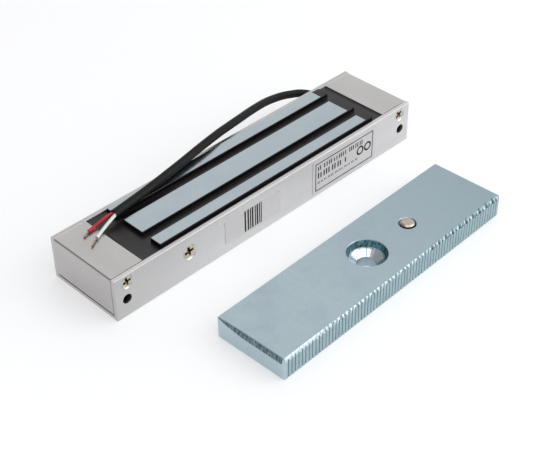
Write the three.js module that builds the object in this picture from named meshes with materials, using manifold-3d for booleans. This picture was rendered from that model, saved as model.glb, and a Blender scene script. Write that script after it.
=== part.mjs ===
// A small electromagnetic door lock: the magnet unit on its back with its poles up, and the loose armature plate
// beside it. Millimetres, +Z up. The origin is the centre of the magnet unit's base, +X runs along its length
// towards the end where the lead comes out, and -Y is its front side, which carries the labels.
import * as THREE from "three";
import { mergeVertices } from "three/addons/utils/BufferGeometryUtils.js";
import Module from "manifold-3d";

const wasm = await Module();
wasm.setup();

// ---- driving dimensions ----

const HOUSING = { length: 168, width: 38, height: 19.6, base: 1.6, flange: 2, edgeRadius: 1 };
const INNER_HALF = HOUSING.width / 2 - HOUSING.flange;
const FRONT = -HOUSING.width / 2;
const COVER = { length: 15.6, sheet: 1.2, tabLength: 8.2, tabHeight: 6, fitGap: 0.15, wallGap: 0.3, overlap: 0.2 };
const COVER_SCREW = { fromEnd: 6.2, z: 15.9, headRadius: 2.7, shankRadius: 1.4, length: 5, countersink: 3.0 };
const CORE_SCREW = { x: 46.9, z: 11.9, headRadius: 3.2, shankRadius: 1.9, length: 7, countersink: 3.5 };
const RECESS = { sunk: 0.25, halfWidth: 0.16, reach: 0.62, depth: 1.1 };
const SIDE_HOLE = { fromEnd: 5.4, z: 8.2, radius: 2.1 };

const CORE = { length: 117, width: 32, top: 21, bottom: 1.8, yokeTop: 7.2, middleWidth: 11.2, sideWidth: 5.6 };
const RIVET = { y: 13.2, z: 4.5, radius: 1.5, headRadius: 2.2, headHeight: 0.8, gap: 0.1 };
const BOBBIN = { wall: 0.7, bottom: 7.5, top: 17.3, flange: 0.7, reach: 4.25, innerRadius: 0.5, outerRadius: 3 };
const RESIN = { halfLength: 68.2, floor: 19, coilCover: 17.6 };
const POLE_BLOCK = { length: 3.4, top: 20.9, cornerRadius: 1.4 };

const LEAD = { diameter: 3.6, exitX: 70.3, exitZ: 10, tailLength: 7.5 };
const GROMMET = { neckRadius: 2.75, lipRadius: 3.7, lipHeight: 1.2, boreRadius: 2, tipRadius: 2.7, reach: 3.1 };
const WIRE = { radius: 0.7, strandRadius: 0.4 };
const SLEEVE = { radius: 1.3, length: 9, x: 73, y: -0.5, redZ: 12.5, whiteZ: 7.5 };
const DIODE = { x: 76.4, y: -0.5, z: 10, bodyRadius: 1.35, bodyLength: 5.2, legRadius: 0.4, legLength: 2.5 };

const LABEL = { x: [22, 61.6], z: [1.6, 18.1], thickness: 0.12, gap: 0.02 };
const STICKER = { x: [-28.3, 2.8], z: [4.2, 15.5], thickness: 0.12, gap: 0.02 };

const ARMATURE = { length: 130, width: 33.5, height: 10, cornerRadius: 1, x: 2.2, y: -66.8, turn: 1.42 };
const RIBS = { count: 70, pitch: 1.82, width: 0.8, depth: 0.35 };
const BOLT_HOLE = { mouthRadius: 8.1, mouthDepth: 3.6, radius: 4.25, coneDepth: 2.7 };
const PIN = { x: 25, radius: 3.25, rise: 0.8, bevel: [0.7, 0.5], footRadius: 4.8, footHeight: 1.2, footTop: 7.6 };
const PIN_BORE = { mouthRadius: 3.95, boreRadius: 5.1, shoulder: 7.8 };
const PLUG = { radius: 4.9, bottom: 0.3, top: 1.7 };
const SPRING = { wireRadius: 0.3, coilRadius: 3.4, turns: 3, bottom: 2.2, top: 5.9, stepsPerTurn: 14 };

// Clearance between fixed pieces that touch, or that one shape is cut out for.
const CLEARANCE = 0.2;
// How far a cutter for a flange hole reaches in from the outer face, and out past it.
const FLANGE_CUT = { inside: -HOUSING.flange - 1, outside: 0.5 };
const ROUND = 24;
const ROUND_BIG = 36;

// The lead's route, from its grommet out behind the unit, over the rear flange and along the rear pole.
const LEAD_ROUTE = [
  [70.3, 22.4, 10],
  [70.1, 24.6, 10.1],
  [68.8, 27.6, 10.5],
  [65.8, 30.3, 11.2],
  [61.5, 31.8, 12.1],
  [56.6, 32.3, 13.1],
  [50.6, 32.0, 14.4],
  [44.7, 30.9, 15.8],
  [37.0, 28.9, 17.6],
  [29.5, 26.7, 19.2],
  [21.6, 24.5, 20.6],
  [14.1, 22.4, 21.8],
  [6.7, 20.7, 22.7],
  [-1.0, 19.0, 23.2],
  [-8.7, 17.5, 23.3],
  [-16.4, 16.1, 23.1],
  [-24.2, 14.7, 22.9],
  [-32.0, 13.3, 22.87],
  [-39.6, 12.0, 22.87],
  [-47.4, 10.8, 22.87],
  [-53.5, 10.0, 22.87],
  [-59.8, 9.2, 22.87],
];
const RED_ROUTE = [
  [-60.1, 9.95, 22.9],
  [-62.8, 10.3, 22.3],
  [-66.6, 10.7, 21.1],
  [-70.0, 10.6, 20.45],
  [-72.3, 10.2, 20.4],
];
const RED_TIP_ROUTE = [
  [-72.6, 10.1, 20.4],
  [-74.0, 9.6, 20.3],
  [-75.4, 9.1, 20.1],
];
const WHITE_ROUTE = [
  [-60.1, 8.35, 22.8],
  [-62.5, 7.9, 22.3],
  [-65.6, 7.3, 21.4],
  [-69.2, 6.3, 20.6],
  [-72.4, 5.0, 20.4],
];
const WHITE_TIP_ROUTE = [
  [-72.7, 4.8, 20.4],
  [-74.9, 3.7, 20.3],
  [-77.0, 2.5, 20.1],
];
const INNER_RED_ROUTE = [
  [70.5, 10.9, 10.8],
  [71.2, 8.4, 11.7],
  [72.6, 6.2, 12.4],
  [73, 4.4, 12.5],
];
const INNER_WHITE_ROUTE = [
  [70.5, 10.9, 9.2],
  [71.2, 8.4, 8.3],
  [72.6, 6.2, 7.6],
  [73, 4.4, 7.5],
];
const COIL_START_ROUTE = [
  [68.5, -10.5, 12.5],
  [70.6, -10.1, 12.5],
  [72.6, -8, 12.5],
  [73, -5.4, 12.5],
];
const COIL_END_ROUTE = [
  [68.5, -10.5, 7.5],
  [70.6, -10.1, 7.5],
  [72.6, -8, 7.5],
  [73, -5.4, 7.5],
];

// ---- materials ----

function paint(color, roughness, metalness) {
  return new THREE.MeshStandardMaterial({ color, roughness, metalness });
}

const aluminium = paint(0xc6c5c4, 0.42, 0.9);
const coverSheet = paint(0xc2c1c0, 0.45, 0.85);
const screwSteel = paint(0xc4bfb0, 0.3, 1);
const coreSteel = paint(0xacb8be, 0.35, 0.9);
const zincSteel = paint(0xa0b0b8, 0.38, 0.9);
const pinNickel = paint(0xbeafa8, 0.28, 1);
const blackResin = paint(0x2a2729, 0.35, 0);
const blackRubber = paint(0x2e2e30, 0.6, 0);
const bobbinPlastic = paint(0xd8cfb8, 0.6, 0);
const copper = paint(0xb5622f, 0.35, 0.9);
const redPvc = paint(0xc81440, 0.45, 0);
const whitePvc = paint(0xdce1d7, 0.45, 0);
const tinned = paint(0xb8b2a8, 0.35, 1);
const sleevePlastic = paint(0x1c1c1e, 0.5, 0);
const clearFilm = paint(0xe8e8e6, 0.2, 0);
const springSteel = paint(0x9a9a98, 0.3, 1);

// ---- solids ----

function toSolid(geometry) {
  const bare = geometry.clone();
  bare.deleteAttribute("normal");
  bare.deleteAttribute("uv");
  const merged = mergeVertices(bare, 1e-4);
  return new wasm.Manifold(
    new wasm.Mesh({
      numProp: 3,
      vertProperties: new Float32Array(merged.attributes.position.array),
      triVerts: new Uint32Array(merged.index.array),
    }),
  );
}

function toGeometry(solid) {
  const mesh = solid.getMesh();
  const geometry = new THREE.BufferGeometry();
  geometry.setAttribute("position", new THREE.BufferAttribute(mesh.vertProperties, mesh.numProp));
  geometry.setIndex(new THREE.BufferAttribute(mesh.triVerts, 1));
  geometry.computeVertexNormals();
  return geometry;
}

function cut(body, cutters) {
  return toGeometry(cutters.reduce((rest, cutter) => rest.subtract(toSolid(cutter)), toSolid(body)));
}

function join(pieces) {
  return toGeometry(pieces.map(toSolid).reduce((all, piece) => all.add(piece)));
}

// A box from its limits along each axis. Equal limits give equal corners, so that cuts share their planes exactly.
function block(...limits) {
  const geometry = new THREE.BoxGeometry(1, 1, 1);
  const corners = geometry.attributes.position;
  for (let i = 0; i < corners.count; i++)
    limits.forEach(([low, high], axis) => {
      corners.setComponent(i, axis, corners.getComponent(i, axis) < 0 ? low : high);
    });
  return geometry;
}

// A shape drawn in the YZ plane and drawn out along X.
function barAlongX(shape, x0, x1, curveSegments = 6) {
  const geometry = new THREE.ExtrudeGeometry(shape, { depth: x1 - x0, bevelEnabled: false, curveSegments });
  const turn = new THREE.Matrix4().makeBasis(
    new THREE.Vector3(0, 1, 0),
    new THREE.Vector3(0, 0, 1),
    new THREE.Vector3(1, 0, 0),
  );
  return geometry.applyMatrix4(turn).translate(x0, 0, 0);
}

// A shape drawn in the XY plane and raised from z0 to z1.
function slab(shape, z0, z1, curveSegments = 6) {
  const geometry = new THREE.ExtrudeGeometry(shape, { depth: z1 - z0, bevelEnabled: false, curveSegments });
  return geometry.translate(0, 0, z0);
}

function roundedRect(halfX, halfY, radius) {
  const shape = new THREE.Shape();
  shape.moveTo(-halfX + radius, -halfY);
  shape.lineTo(halfX - radius, -halfY);
  shape.absarc(halfX - radius, -halfY + radius, radius, -Math.PI / 2, 0);
  shape.lineTo(halfX, halfY - radius);
  shape.absarc(halfX - radius, halfY - radius, radius, 0, Math.PI / 2);
  shape.lineTo(-halfX + radius, halfY);
  shape.absarc(-halfX + radius, halfY - radius, radius, Math.PI / 2, Math.PI);
  shape.lineTo(-halfX, -halfY + radius);
  shape.absarc(-halfX + radius, -halfY + radius, radius, Math.PI, Math.PI * 1.5);
  return shape;
}

// A turned piece from [radius, height] pairs listed from its low end to its high end, about +Z.
function turned(profile, segments = ROUND) {
  const points = profile.map(([radius, height]) => new THREE.Vector2(radius, height));
  return new THREE.LatheGeometry(points, segments).rotateX(Math.PI / 2);
}

function rod(radius, z0, z1, segments = ROUND) {
  return turned([[0, z0], [radius, z0], [radius, z1], [0, z1]], segments);
}

// A round section swept along the smooth curve through the points.
function tube(points, radius, steps, sides = 8) {
  const route = new THREE.CatmullRomCurve3(points.map((p) => new THREE.Vector3(...p)));
  const section = new THREE.Shape();
  for (let i = 0; i < sides; i++) {
    const angle = (2 * Math.PI * i) / sides;
    const x = radius * Math.cos(angle);
    const y = radius * Math.sin(angle);
    if (i === 0) section.moveTo(x, y);
    else section.lineTo(x, y);
  }
  return new THREE.ExtrudeGeometry(section, { steps, extrudePath: route, bevelEnabled: false });
}

// Turns a piece made about +Z so that +Z becomes the outward direction of the front or rear flange, with z = 0
// on the flange's outer face.
function ontoFlange(geometry, side, x, z) {
  geometry.rotateX(side === "front" ? Math.PI / 2 : -Math.PI / 2);
  return geometry.translate(x, side === "front" ? FRONT : -FRONT, z);
}

const object = new THREE.Group();

function add(name, geometry, material, parent = object) {
  const mesh = new THREE.Mesh(geometry, material);
  mesh.name = name;
  parent.add(mesh);
}

// ---- where the fasteners sit ----

const ENDS = [
  { name: "left", sign: -1 },
  { name: "right", sign: 1 },
];
const SIDES = ["front", "rear"];
const coverScrewX = HOUSING.length / 2 - COVER_SCREW.fromEnd;
const sideHoleX = HOUSING.length / 2 - SIDE_HOLE.fromEnd;
const coreScrewX = { front: -CORE_SCREW.x, rear: CORE_SCREW.x };

// ---- housing ----

// The cutter for a countersunk hole: a cone from the face down to the shank's clearance hole.
function countersinkCutter(spec) {
  const { inside, outside } = FLANGE_CUT;
  const clearance = spec.shankRadius + CLEARANCE;
  const cone = spec.countersink - clearance;
  return turned([
    [0, inside],
    [clearance, inside],
    [clearance, -cone],
    [spec.countersink, 0],
    [spec.countersink, outside],
    [0, outside],
  ]);
}

function flangeHoleCutter(radius) {
  return rod(radius, FLANGE_CUT.inside, FLANGE_CUT.outside);
}

function housingProfile() {
  const half = HOUSING.width / 2;
  const r = HOUSING.edgeRadius;
  const shape = new THREE.Shape();
  shape.moveTo(-half + r, 0);
  shape.lineTo(half - r, 0);
  shape.absarc(half - r, r, r, -Math.PI / 2, 0);
  shape.lineTo(half, HOUSING.height);
  shape.lineTo(INNER_HALF, HOUSING.height);
  shape.lineTo(INNER_HALF, HOUSING.base);
  shape.lineTo(-INNER_HALF, HOUSING.base);
  shape.lineTo(-INNER_HALF, HOUSING.height);
  shape.lineTo(-half, HOUSING.height);
  shape.lineTo(-half, r);
  shape.absarc(-half + r, r, r, Math.PI, Math.PI * 1.5);
  return shape;
}

function makeHousing() {
  const cutters = [];
  for (const side of SIDES) {
    for (const end of ENDS) {
      cutters.push(ontoFlange(countersinkCutter(COVER_SCREW), side, end.sign * coverScrewX, COVER_SCREW.z));
      cutters.push(ontoFlange(flangeHoleCutter(SIDE_HOLE.radius), side, end.sign * sideHoleX, SIDE_HOLE.z));
    }
    cutters.push(ontoFlange(countersinkCutter(CORE_SCREW), side, coreScrewX[side], CORE_SCREW.z));
  }
  const leadHole = flangeHoleCutter(GROMMET.neckRadius + CLEARANCE);
  cutters.push(ontoFlange(leadHole, "rear", LEAD.exitX, LEAD.exitZ));
  const bar = barAlongX(housingProfile(), -HOUSING.length / 2, HOUSING.length / 2);
  add("housing_channel", cut(bar, cutters), aluminium);
}

// An end cover: top plate, end wall and two screw tabs behind the flanges, made for the right end and turned
// half round for the left.
function makeCover(end) {
  const outer = HOUSING.length / 2;
  const halfWidth = INNER_HALF - COVER.fitGap;
  const plateBottom = HOUSING.height - COVER.sheet;
  const wall = [outer - COVER.sheet, outer];
  const tabX = [outer - COVER.sheet - COVER.tabLength, outer - COVER.sheet + COVER.overlap];
  const tabZ = [plateBottom - COVER.tabHeight, plateBottom + COVER.overlap];
  const pieces = [
    block([outer - COVER.length, outer], [-halfWidth, halfWidth], [plateBottom, HOUSING.height]),
    block(wall, [-halfWidth, halfWidth], [HOUSING.base + COVER.wallGap, plateBottom + COVER.overlap]),
  ];
  const screwHoles = [];
  for (const sign of [-1, 1]) {
    const near = sign * halfWidth;
    const far = sign * (halfWidth - COVER.sheet);
    pieces.push(block(tabX, [Math.min(near, far), Math.max(near, far)], tabZ));
    const side = sign < 0 ? "front" : "rear";
    const threadHole = rod(COVER_SCREW.shankRadius + CLEARANCE, -COVER_SCREW.length, 0);
    screwHoles.push(ontoFlange(threadHole, side, coverScrewX, COVER_SCREW.z));
  }
  const cover = cut(join(pieces), screwHoles);
  if (end.sign < 0) cover.rotateZ(Math.PI);
  add(`end_cover_${end.name}`, cover, coverSheet);
}

// A countersunk cross-recess screw, its head's face a little below the flange's.
function makeScrew(name, spec, side, x) {
  const head = spec.headRadius;
  const shank = spec.shankRadius;
  const face = -RECESS.sunk;
  const body = turned([
    [0, -spec.length],
    [shank, -spec.length],
    [shank, face - (head - shank)],
    [head, face],
    [0, face],
  ]);
  const arm = [-head * RECESS.reach, head * RECESS.reach];
  const blade = [-head * RECESS.halfWidth, head * RECESS.halfWidth];
  const depth = [face - RECESS.depth, 1];
  const screw = cut(body, [block(arm, blade, depth), block(blade, arm, depth)]);
  add(name, ontoFlange(screw, side, x, spec.z), screwSteel);
}

function makeScrews() {
  for (const side of SIDES) {
    for (const end of ENDS)
      makeScrew(`cover_screw_${side}_${end.name}`, COVER_SCREW, side, end.sign * coverScrewX);
    makeScrew(`core_screw_${side}`, CORE_SCREW, side, coreScrewX[side]);
  }
}

// ---- core, coil and resin ----

const legs = [
  [-CORE.width / 2, -CORE.width / 2 + CORE.sideWidth],
  [-CORE.middleWidth / 2, CORE.middleWidth / 2],
  [CORE.width / 2 - CORE.sideWidth, CORE.width / 2],
];

// The E section: a yoke with three legs.
function coreProfile() {
  const shape = new THREE.Shape();
  shape.moveTo(-CORE.width / 2, CORE.bottom);
  shape.lineTo(CORE.width / 2, CORE.bottom);
  shape.lineTo(CORE.width / 2, CORE.yokeTop);
  for (const [near, far] of [...legs].reverse()) {
    shape.lineTo(far, CORE.yokeTop);
    shape.lineTo(far, CORE.top);
    shape.lineTo(near, CORE.top);
    shape.lineTo(near, CORE.yokeTop);
  }
  return shape;
}

function makeCore() {
  const half = CORE.length / 2;
  const holes = [-1, 1].map((sign) =>
    rod(RIVET.radius + CLEARANCE, -half - 1, half + 1)
      .rotateY(Math.PI / 2)
      .translate(0, sign * RIVET.y, RIVET.z),
  );
  for (const side of SIDES) {
    const threadHole = rod(CORE_SCREW.shankRadius + CLEARANCE, -CORE_SCREW.length - CLEARANCE, 0);
    holes.push(ontoFlange(threadHole, side, coreScrewX[side], CORE_SCREW.z));
  }
  add("core_laminations", cut(barAlongX(coreProfile(), -half, half), holes), coreSteel);
}

function makeRivets() {
  const end = CORE.length / 2 + RIVET.gap;
  const tip = end + RIVET.headHeight;
  const profile = [
    [0, -tip],
    [RIVET.headRadius, -tip],
    [RIVET.headRadius, -end],
    [RIVET.radius, -end],
    [RIVET.radius, end],
    [RIVET.headRadius, end],
    [RIVET.headRadius, tip],
    [0, tip],
  ];
  for (const side of SIDES) {
    const y = side === "front" ? -RIVET.y : RIVET.y;
    add(`core_rivet_${side}`, turned(profile, 16).rotateY(Math.PI / 2).translate(0, y, RIVET.z), coreSteel);
  }
}

// A rectangular ring round the middle leg, from an inner clearance to an outer one.
function ringRoundLeg(inner, outer, radius, z0, z1) {
  const halfX = CORE.length / 2;
  const halfY = CORE.middleWidth / 2;
  const shape = roundedRect(halfX + outer, halfY + outer, radius);
  const hole = new THREE.Path();
  hole.moveTo(-halfX - inner, -halfY - inner);
  hole.lineTo(-halfX - inner, halfY + inner);
  hole.lineTo(halfX + inner, halfY + inner);
  hole.lineTo(halfX + inner, -halfY - inner);
  shape.holes.push(hole);
  return slab(shape, z0, z1);
}

function makeCoil() {
  const { bottom, top, reach, innerRadius, outerRadius } = BOBBIN;
  const wall = CLEARANCE + BOBBIN.wall;
  const lower = bottom + BOBBIN.flange;
  const upper = top - BOBBIN.flange;
  const bobbin = join([
    ringRoundLeg(CLEARANCE, wall, innerRadius, bottom, top),
    ringRoundLeg(CLEARANCE, reach, outerRadius, bottom, lower),
    ringRoundLeg(CLEARANCE, reach, outerRadius, upper, top),
  ]);
  add("coil_bobbin", bobbin, bobbinPlastic);
  const inside = wall + CLEARANCE;
  const outside = reach - CLEARANCE;
  add("coil_winding", ringRoundLeg(inside, outside, outerRadius, lower + CLEARANCE, upper - CLEARANCE), copper);
}

// A low block past the right end of a pole, with rounded far corners.
function poleBlock([y0, y1]) {
  const x0 = CORE.length / 2 + CLEARANCE;
  const x1 = x0 + POLE_BLOCK.length;
  const r = POLE_BLOCK.cornerRadius;
  const shape = new THREE.Shape();
  shape.moveTo(x0, y0);
  shape.lineTo(x1 - r, y0);
  shape.absarc(x1 - r, y0 + r, r, -Math.PI / 2, 0);
  shape.lineTo(x1, y1 - r);
  shape.absarc(x1 - r, y1 - r, r, 0, Math.PI / 2);
  shape.lineTo(x0, y1);
  return slab(shape, RESIN.floor - 0.5, POLE_BLOCK.top);
}

function makeResin() {
  const gap = CLEARANCE;
  const halfY = INNER_HALF - gap;
  const halfCore = CORE.length / 2 + gap;
  const halfCoreY = CORE.width / 2 + gap;
  const length = [-RESIN.halfLength, RESIN.halfLength];
  const body = join([block(length, [-halfY, halfY], [CORE.bottom, RESIN.floor]), ...legs.map(poleBlock)]);
  const coilX = CORE.length / 2 + BOBBIN.reach + gap;
  const coilY = CORE.middleWidth / 2 + BOBBIN.reach + gap;
  const rivetX = CORE.length / 2 + RIVET.gap + RIVET.headHeight + gap;
  const cutters = [
    block([-halfCore, halfCore], [-halfCoreY, halfCoreY], [0, RESIN.coilCover]),
    block([-coilX, coilX], [-coilY, coilY], [CORE.yokeTop, RESIN.coilCover]),
    block([-rivetX, rivetX], [-halfCoreY, halfCoreY], [0, BOBBIN.bottom]),
    ...legs.map(([y0, y1]) => block([-halfCore, halfCore], [y0 - gap, y1 + gap], [CORE.yokeTop, CORE.top + 1])),
  ];
  for (const side of SIDES) {
    const passage = rod(CORE_SCREW.shankRadius + gap, -CORE_SCREW.length, 0);
    cutters.push(ontoFlange(passage, side, coreScrewX[side], CORE_SCREW.z));
  }
  const lipPocket = rod(GROMMET.lipRadius + gap, -HOUSING.flange - GROMMET.lipHeight - 2 * gap, 0);
  cutters.push(ontoFlange(lipPocket, "rear", LEAD.exitX, LEAD.exitZ));
  add("potting_resin", cut(body, cutters), blackResin);
}

// ---- lead and wiring ----

function makeGrommet() {
  const inner = -HOUSING.flange - CLEARANCE;
  const { neckRadius: neck, lipRadius, lipHeight, boreRadius: bore, tipRadius, reach } = GROMMET;
  const profile = [
    [bore, inner - lipHeight],
    [lipRadius, inner - lipHeight],
    [lipRadius, inner],
    [neck, inner],
    [neck, CLEARANCE],
    [lipRadius, CLEARANCE],
    [lipRadius, lipHeight],
    [tipRadius, reach],
    [bore, reach],
    [bore, inner - lipHeight],
  ];
  add("cable_grommet", ontoFlange(turned(profile), "rear", LEAD.exitX, LEAD.exitZ), blackRubber);
}

function makeLead() {
  const tail = rod(LEAD.diameter / 2, -LEAD.tailLength, GROMMET.reach - CLEARANCE, 16);
  add("cable_tail", ontoFlange(tail, "rear", LEAD.exitX, LEAD.exitZ), blackRubber);
  add("cable_jacket", tube(LEAD_ROUTE, LEAD.diameter / 2, 44), blackRubber);
  add("red_wire", tube(RED_ROUTE, WIRE.radius, 8), redPvc);
  add("white_wire", tube(WHITE_ROUTE, WIRE.radius, 8), whitePvc);
  add("red_wire_tip", tube(RED_TIP_ROUTE, WIRE.strandRadius, 3, 6), tinned);
  add("white_wire_tip", tube(WHITE_TIP_ROUTE, WIRE.strandRadius, 3, 6), tinned);
}

function makeWiring() {
  add("inner_red_wire", tube(INNER_RED_ROUTE, WIRE.radius, 6), redPvc);
  add("inner_white_wire", tube(INNER_WHITE_ROUTE, WIRE.radius, 6), whitePvc);
  add("coil_lead_start", tube(COIL_START_ROUTE, WIRE.radius, 6), copper);
  add("coil_lead_end", tube(COIL_END_ROUTE, WIRE.radius, 6), copper);
  for (const [name, z] of Object.entries({ red: SLEEVE.redZ, white: SLEEVE.whiteZ })) {
    const sleeve = rod(SLEEVE.radius, -SLEEVE.length / 2, SLEEVE.length / 2, 12);
    sleeve.rotateX(Math.PI / 2).translate(SLEEVE.x, SLEEVE.y, z);
    add(`splice_sleeve_${name}`, sleeve, sleevePlastic);
  }
  const half = DIODE.bodyLength / 2;
  const tip = half + DIODE.legLength;
  const profile = [
    [0, -tip],
    [DIODE.legRadius, -tip],
    [DIODE.legRadius, -half],
    [DIODE.bodyRadius, -half],
    [DIODE.bodyRadius, half],
    [DIODE.legRadius, half],
    [DIODE.legRadius, tip],
    [0, tip],
  ];
  add("surge_diode", turned(profile, 12).translate(DIODE.x, DIODE.y, DIODE.z), sleevePlastic);
}

function makeLabel(name, spec) {
  const y = [FRONT - spec.gap - spec.thickness, FRONT - spec.gap];
  add(name, block(spec.x, y, spec.z), clearFilm);
}

// ---- armature ----

// The plate's outline, with shallow upright grooves along its front side.
function armatureOutline() {
  const x = ARMATURE.length / 2;
  const y = ARMATURE.width / 2;
  const r = ARMATURE.cornerRadius;
  const shape = new THREE.Shape();
  shape.moveTo(-x + r, -y);
  for (let i = 0; i < RIBS.count; i++) {
    const middle = (i - (RIBS.count - 1) / 2) * RIBS.pitch;
    shape.lineTo(middle - RIBS.width / 2, -y);
    shape.lineTo(middle, -y + RIBS.depth);
    shape.lineTo(middle + RIBS.width / 2, -y);
  }
  shape.lineTo(x - r, -y);
  shape.absarc(x - r, -y + r, r, -Math.PI / 2, 0);
  shape.lineTo(x, y - r);
  shape.absarc(x - r, y - r, r, 0, Math.PI / 2);
  shape.lineTo(-x + r, y);
  shape.absarc(-x + r, y - r, r, Math.PI / 2, Math.PI);
  shape.lineTo(-x, -y + r);
  shape.absarc(-x + r, -y + r, r, Math.PI, Math.PI * 1.5);
  return shape;
}

function makeArmaturePlate(parent) {
  const top = ARMATURE.height;
  const mouth = top - BOLT_HOLE.mouthDepth;
  const cone = mouth - BOLT_HOLE.coneDepth;
  const boltProfile = [
    [0, -1],
    [BOLT_HOLE.radius, -1],
    [BOLT_HOLE.radius, cone],
    [BOLT_HOLE.mouthRadius, mouth],
    [BOLT_HOLE.mouthRadius, top + 1],
    [0, top + 1],
  ];
  const boltHole = turned(boltProfile, ROUND_BIG);
  const pinBore = turned([
    [0, -1],
    [PIN_BORE.boreRadius, -1],
    [PIN_BORE.boreRadius, PIN_BORE.shoulder],
    [PIN_BORE.mouthRadius, PIN_BORE.shoulder],
    [PIN_BORE.mouthRadius, top + 1],
    [0, top + 1],
  ]);
  pinBore.translate(PIN.x, 0, 0);
  const plate = cut(slab(armatureOutline(), 0, top, 4), [boltHole, pinBore]);
  add("armature_plate", plate, zincSteel, parent);
}

function makeReleasePin(parent) {
  const top = ARMATURE.height + PIN.rise;
  const footBottom = PIN.footTop - PIN.footHeight;
  const pin = turned([
    [0, footBottom],
    [PIN.footRadius, footBottom],
    [PIN.footRadius, PIN.footTop],
    [PIN.radius, PIN.footTop],
    [PIN.radius, top - PIN.bevel[1]],
    [PIN.radius - PIN.bevel[0], top],
    [0, top],
  ]);
  add("release_pin", pin.translate(PIN.x, 0, 0), pinNickel, parent);
  const plug = rod(PLUG.radius, PLUG.bottom, PLUG.top);
  add("pin_plug", plug.translate(PIN.x, 0, 0), springSteel, parent);
  const points = [];
  const steps = SPRING.turns * SPRING.stepsPerTurn;
  for (let i = 0; i <= steps; i++) {
    const angle = (2 * Math.PI * i) / SPRING.stepsPerTurn;
    const z = SPRING.bottom + ((SPRING.top - SPRING.bottom) * i) / steps;
    points.push([SPRING.coilRadius * Math.cos(angle), SPRING.coilRadius * Math.sin(angle), z]);
  }
  const spring = tube(points, SPRING.wireRadius, steps, 6);
  add("release_pin_spring", spring.translate(PIN.x, 0, 0), springSteel, parent);
}

function makeArmature() {
  const group = new THREE.Group();
  group.position.set(ARMATURE.x, ARMATURE.y, 0);
  group.rotation.z = THREE.MathUtils.degToRad(ARMATURE.turn);
  makeArmaturePlate(group);
  makeReleasePin(group);
  object.add(group);
}

makeHousing();
ENDS.forEach(makeCover);
makeScrews();
makeCore();
makeRivets();
makeCoil();
makeResin();
makeGrommet();
makeLead();
makeWiring();
makeLabel("rating_label", LABEL);
makeLabel("clear_sticker", STICKER);
makeArmature();

export default object;
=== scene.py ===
"""The looks of a small electromagnetic door lock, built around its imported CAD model.

The magnet unit lies on its base with its poles up, along X, and -Y is its front side. The armature plate
lies in front of it, turned a little about Z. Shapes are drawn in millimetres in the same frame as the CAD
model, and become metres when a piece is made.
"""
import math
import random

import bmesh
import bpy
from mathutils import Matrix, Vector


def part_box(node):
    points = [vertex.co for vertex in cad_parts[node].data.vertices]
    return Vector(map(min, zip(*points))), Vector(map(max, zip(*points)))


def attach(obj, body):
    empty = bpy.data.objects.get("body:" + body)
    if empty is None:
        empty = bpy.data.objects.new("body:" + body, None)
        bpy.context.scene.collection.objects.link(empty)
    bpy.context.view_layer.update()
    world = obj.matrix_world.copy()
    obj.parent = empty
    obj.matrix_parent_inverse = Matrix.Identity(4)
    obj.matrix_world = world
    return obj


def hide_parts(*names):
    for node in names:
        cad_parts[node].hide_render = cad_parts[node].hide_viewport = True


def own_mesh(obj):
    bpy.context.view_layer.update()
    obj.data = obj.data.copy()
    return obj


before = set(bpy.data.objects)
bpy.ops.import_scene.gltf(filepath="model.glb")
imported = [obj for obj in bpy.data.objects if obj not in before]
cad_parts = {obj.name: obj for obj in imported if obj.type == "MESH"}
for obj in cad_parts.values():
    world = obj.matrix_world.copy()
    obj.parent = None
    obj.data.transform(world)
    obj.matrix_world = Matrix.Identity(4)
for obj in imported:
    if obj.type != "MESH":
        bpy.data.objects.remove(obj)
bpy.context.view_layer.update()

MM = 0.001


def box_mm(node):
    low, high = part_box(node)
    return low / MM, high / MM


# ---- sizes, from the CAD model where it says them, in millimetres ----

HOUSING = box_mm("housing_channel")[1]
FLANGE = 2.0
BASE = 1.6
INNER = HOUSING.y - FLANGE
COVER_LOW, COVER_HIGH = box_mm("end_cover_right")
COVER_GAP = 0.55
COVER_SHEET = 1.2
TAB_LENGTH = 8.2
TAB_HEIGHT = 6.0
COVER_SCREW = {"x": HOUSING.x - 6.2, "z": 15.9, "head": 2.7, "shank": 1.4, "length": 5.0, "sink": 3.0}
CORE_SCREW = {"x": 46.9, "z": 11.9, "head": 3.2, "shank": 1.9, "length": 7.0, "sink": 3.5}
SIDE_HOLE = {"x": HOUSING.x - 5.4, "z": 8.2, "radius": 2.1}
CORE_LOW, CORE_HIGH = box_mm("core_laminations")
YOKE_TOP = 7.2
LEGS = [(-15.75, -10.4), (-5.3, 5.6), (10.65, 16.0)]
LAMINATION = 0.5
RIVET_Y, RIVET_Z, RIVET_HOLE = 13.2, 4.5, 1.7
RESIN_HALF, RESIN_FLOOR, RESIN_TOP = 68.2, 19.0, 20.85
RESIN_GAP = 0.03
POCKET = {"coil": 4.45, "coil_top": 17.6, "rivet": 1.1, "rivet_top": 7.5}
POLE_BLOCK = 4.7
SCREW_ROOM = 0.2
CABLE = 3.6
WIRE = 1.4
LEAD_EXIT = Vector((70.3, HOUSING.y, 10.0))
LEAD_HOLE = 2.95
PLATE = Vector((65.0, 16.75, 10.0))
PLATE_AT = Vector((2.2, -66.8, 0))
PLATE_TURN = 1.42
RIB_PITCH, RIB_COUNT, RIB_DEPTH = 1.82, 70, 0.42
NICK_START, NICK_PITCH = -39.8, 4.52
CHAMFER_TURN = 18.0
SHEAR_FALL, SHEAR_IN = 2.5, 0.5
BOLT_HOLE = {"mouth": 8.1, "throat": 7.2, "step": 7.0, "cone": 4.3, "bore": 4.25}
PIN = {"x": 25.0, "radius": 3.0, "top": 10.8, "foot": 4.8, "foot_low": 6.4, "foot_high": 7.6}
PIN_BORE = {"mouth": 3.6, "bore": 5.1, "shoulder": 7.8}
PLUG = {"radius": 4.9, "low": 0.3, "high": 1.7}
SPRING = {"wire": 0.3, "coil": 3.4, "turns": 3, "low": 2.2, "high": 5.9}

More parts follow.
